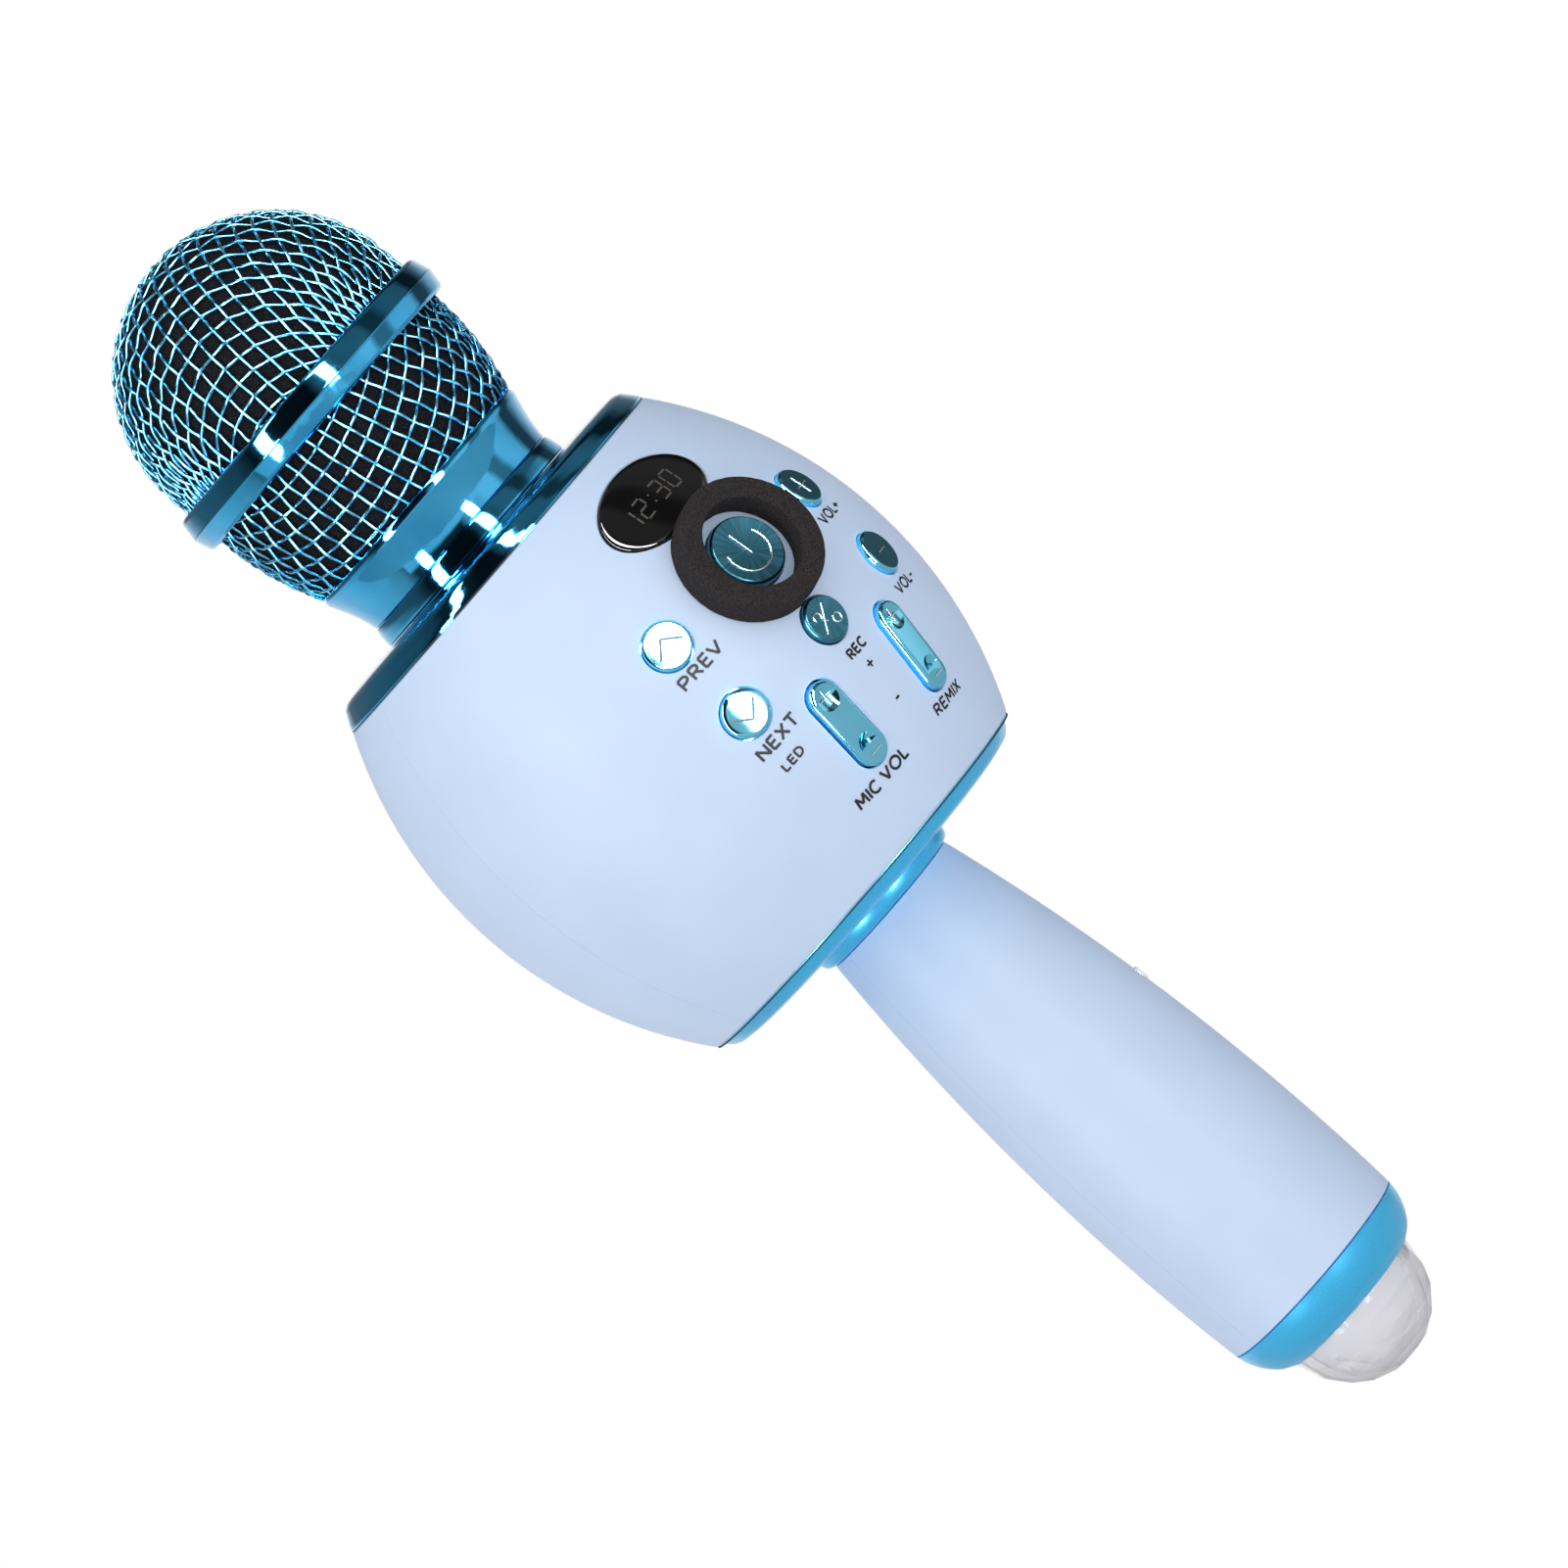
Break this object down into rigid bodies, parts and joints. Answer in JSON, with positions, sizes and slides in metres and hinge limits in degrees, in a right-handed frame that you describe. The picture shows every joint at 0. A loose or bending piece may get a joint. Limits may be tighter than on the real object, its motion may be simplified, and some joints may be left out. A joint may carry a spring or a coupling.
{
  "type": "toy karaoke microphone",
  "caption": "Hand-held karaoke toy microphone with woven grille head, barrel body with buttons and rear speaker, tapered handle and crystal light.",
  "frame": {"origin": "on the microphone's axis in the middle of the hand grip, half way up the tapered handle", "axes": "+Z along the axis from the crystal light to the grille; -Y out of the control panel; +X to the right as the panel is faced"},
  "size_m": [0.092, 0.0947, 0.2652],
  "materials": {
    "grille_wire": "woven crimped wire with a light blue metallic coat",
    "blue_chrome": "mirror-bright blue metal plating",
    "bright_blue_metal": "bright blue satin metallic coat",
    "soft_touch_blue": "pale periwinkle soft-touch coat, satin",
    "liner_foam": "open-cell black foam",
    "ring_foam": "charcoal cut foam with fine cells",
    "display_gloss": "deep black glossy lens",
    "clear_crystal": "clear moulded plastic with shallow facets",
    "black_plastic": "moulded black plastic",
    "steel": "plated steel",
    "ferrite": "sintered magnet with plated yoke",
    "cone_paper": "pressed paper cone",
    "circuit_board": "green lacquered circuit board",
    "battery_sleeve": "shrink sleeve",
    "dark_rubber": "soft moulded rubber",
    "lead_sleeve": "insulated lead"
  },
  "bodies": {
    "housing": {"neck_ring": "blue_chrome", "top_plate": "blue_chrome", "speaker_trim_ring": "blue_chrome", "bottom_plate": "bright_blue_metal", "handle_collar": "bright_blue_metal", "end_cap": "bright_blue_metal", "speaker_grille": "bright_blue_metal", "body_front_shell": "soft_touch_blue", "body_back_shell": "soft_touch_blue", "handle_front_shell": "soft_touch_blue", "handle_back_shell": "soft_touch_blue", "foam_ring": "ring_foam", "display_window": "display_gloss", "crystal_dome": "clear_crystal", "charge_indicator": "clear_crystal", "power_switch": "black_plastic", "prev_switch": "black_plastic", "next_switch": "black_plastic", "vol_up_switch": "black_plastic", "vol_down_switch": "black_plastic", "rec_switch": "black_plastic", "mic_volume_switch": "black_plastic", "remix_switch": "black_plastic", "switch_carrier": "black_plastic", "display_module": "black_plastic", "speaker_basket": "black_plastic", "battery_cradle": "black_plastic", "aux_jack": "black_plastic", "mic_capsule": "steel", "mic_volume_pin": "steel", "remix_pin": "steel", "case_screw_front": "steel", "case_screw_back": "steel", "handle_screw": "steel", "usb_port": "steel", "card_slot": "steel", "speaker_magnet": "ferrite", "main_board": "circuit_board", "charge_board": "circuit_board", "led_board": "circuit_board", "battery_cell": "battery_sleeve", "capsule_cradle": "dark_rubber", "capsule_lead": "lead_sleeve", "battery_lead": "lead_sleeve", "speaker_lead": "lead_sleeve"},
    "thread_insert": {"head_thread_ring": "steel"},
    "grille_head": {"grille_dome": "grille_wire", "grille_skirt": "grille_wire", "grille_band": "blue_chrome", "grille_foam": "liner_foam", "neck_flare": "blue_chrome"},
    "power_cap": {"power_button": "blue_chrome"},
    "prev_cap": {"prev_button": "blue_chrome"},
    "next_cap": {"next_button": "blue_chrome"},
    "vol_up_cap": {"vol_up_button": "blue_chrome"},
    "vol_down_cap": {"vol_down_button": "blue_chrome"},
    "rec_cap": {"rec_button": "blue_chrome"},
    "mic_volume_key": {"mic_volume_rocker": "blue_chrome"},
    "remix_key": {"remix_rocker": "blue_chrome"},
    "cone": {"speaker_cone": "cone_paper"}
  },
  "joints": [
    {"name": "head_rise", "type": "slide", "parent": "housing", "child": "thread_insert", "axis": [0, 0, 1], "range_m": [0, 0.0061]},
    {"name": "head_turn", "type": "hinge", "parent": "thread_insert", "child": "grille_head", "pos_m": [0, 0, 0.1395], "axis": [0, 0, 1], "range_deg": [0, 1440]},
    {"name": "power_press", "type": "slide", "parent": "housing", "child": "power_cap", "axis": [0, 0.989, -0.1481], "range_m": [0, 0.0005], "stiffness_N_per_m": 2000},
    {"name": "prev_press", "type": "slide", "parent": "housing", "child": "prev_cap", "axis": [0.4366, 0.8874, -0.1481], "range_m": [0, 0.0005], "stiffness_N_per_m": 2000},
    {"name": "next_press", "type": "slide", "parent": "housing", "child": "next_cap", "axis": [0.4403, 0.8948, 0.0743], "range_m": [0, 0.0005], "stiffness_N_per_m": 2000},
    {"name": "vol_up_press", "type": "slide", "parent": "housing", "child": "vol_up_cap", "axis": [-0.4366, 0.8874, -0.1481], "range_m": [0, 0.0005], "stiffness_N_per_m": 2000},
    {"name": "vol_down_press", "type": "slide", "parent": "housing", "child": "vol_down_cap", "axis": [-0.4403, 0.8948, 0.0743], "range_m": [0, 0.0005], "stiffness_N_per_m": 2000},
    {"name": "rec_press", "type": "slide", "parent": "housing", "child": "rec_cap", "axis": [0, 0.9972, 0.0743], "range_m": [0, 0.0005], "stiffness_N_per_m": 2000},
    {"name": "mic_volume_tilt", "type": "hinge", "parent": "housing", "child": "mic_volume_key", "pos_m": [-0.00881, -0.03818, 0.07247], "axis": [0.9744, -0.225, 0], "range_deg": [-3.5, 3.5], "stiffness_Nm_per_rad": 0.14},
    {"name": "remix_tilt", "type": "hinge", "parent": "housing", "child": "remix_key", "pos_m": [0.00881, -0.03818, 0.07247], "axis": [0.9744, 0.225, 0], "range_deg": [-3.5, 3.5], "stiffness_Nm_per_rad": 0.14},
    {"name": "cone_travel", "type": "slide", "parent": "housing", "child": "cone", "axis": [0, 1, 0], "range_m": [-0.0008, 0.0008], "stiffness_N_per_m": 2000}
  ],
  "couplings": [
    {"joint": "head_rise", "follows": "head_turn", "m_per_rad": 0.00023873}
  ]
}
